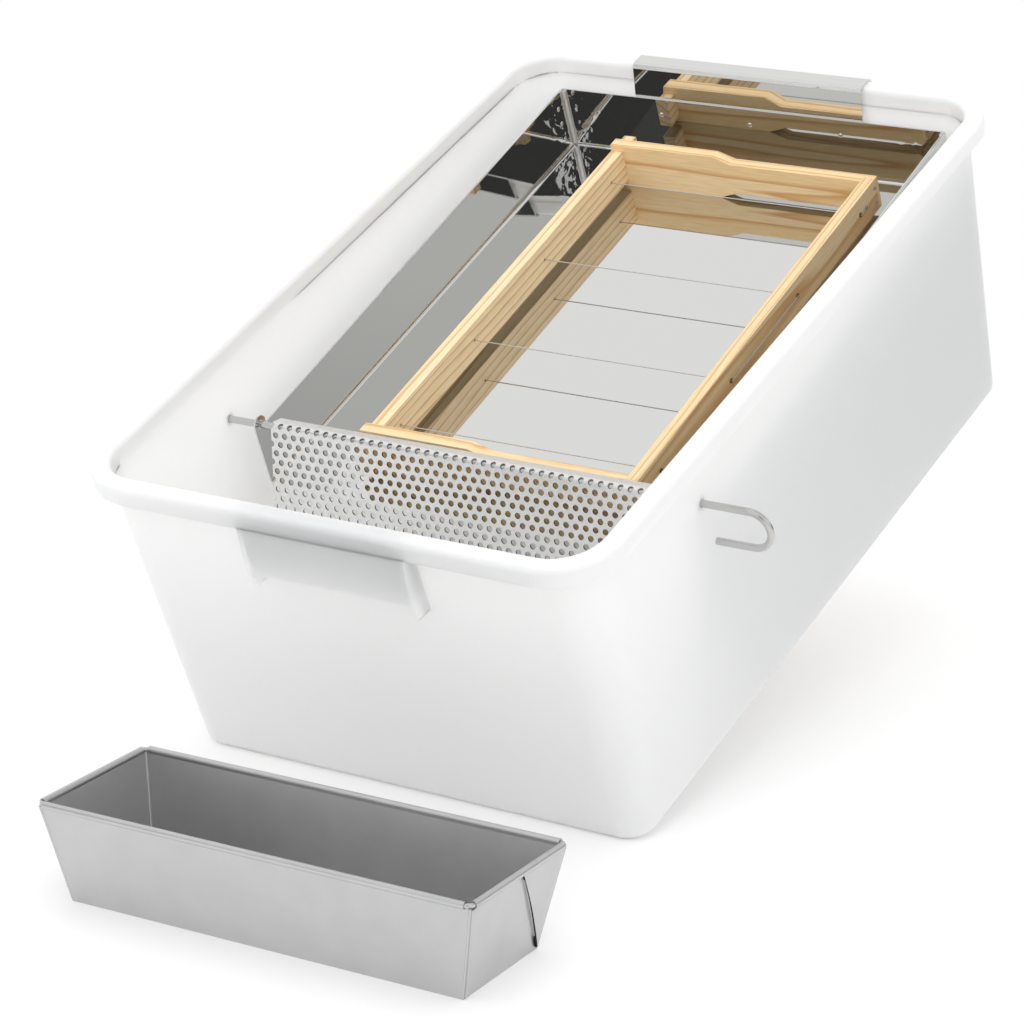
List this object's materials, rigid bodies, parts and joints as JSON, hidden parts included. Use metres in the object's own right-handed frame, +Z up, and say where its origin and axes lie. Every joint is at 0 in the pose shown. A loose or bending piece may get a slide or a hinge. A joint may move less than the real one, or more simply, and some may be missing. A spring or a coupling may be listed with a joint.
{
  "type": "solar wax melter",
  "caption": "Solar wax melter: a tilted white plastic tub with a polished steel tray, a perforated strainer on a pull-out rod, a wired comb frame and a folded wax tin.",
  "frame": {"origin": "centre of the bounding box in plan, on the ground", "axes": "+Z up, +Y along the tub from its low end with the strainer to its raised end, +X to the side of the rod's handle"},
  "size_m": [0.4364, 0.8047, 0.4176],
  "materials": {
    "white_plastic": "satin",
    "mirror_steel": "polished",
    "brushed_sheet": "brushed",
    "strainer_steel": "satin",
    "rod_steel": "bright",
    "pine": "planed",
    "timber": "sawn",
    "brass": "satin",
    "tinplate": "satin"
  },
  "bodies": {
    "tub": {"tub": "white_plastic", "tub_rim": "white_plastic", "support_block": "timber"},
    "rod": {"support_rod": "rod_steel"},
    "tray": {"wax_tray": "mirror_steel", "rear_hanger": "brushed_sheet", "hanger_rivets": "rod_steel", "corner_rivets": "rod_steel"},
    "strainer": {"strainer": "strainer_steel"},
    "comb_frame": {"frame_top_bar": "pine", "frame_bottom_bar": "pine", "frame_side_bar_front": "pine", "frame_side_bar_rear": "pine", "frame_wire": "rod_steel", "top_bar_eyelets": "brass", "bottom_bar_eyelets": "brass", "top_bar_nails": "rod_steel", "bottom_bar_nails": "rod_steel", "wire_tack": "rod_steel"},
    "wax_tin": {"tin_body": "tinplate", "tin_rim_wire": "rod_steel"}
  },
  "joints": [
    {"name": "rod_pull", "type": "slide", "parent": "tub", "child": "rod", "axis": [1, 0, 0], "range_m": [0, 0.395]},
    {"name": "tray_swing", "type": "hinge", "parent": "tub", "child": "tray", "pos_m": [0, -0.06914, 0.21705], "axis": [1, 0, 0], "range_deg": [0, 55]},
    {"name": "strainer_swing", "type": "hinge", "parent": "tub", "child": "strainer", "pos_m": [0, -0.06914, 0.21705], "axis": [-1, 0, 0], "range_deg": [-14, 75]},
    {"name": "frame_lift", "type": "slide", "parent": "tray", "child": "comb_frame", "axis": [0, -0.3891, 0.9212], "range_m": [0, 0.12]},
    {"name": "tin_lift", "type": "slide", "parent": "tub", "child": "wax_tin", "axis": [0, 0, 1], "range_m": [0, 0.1]}
  ]
}
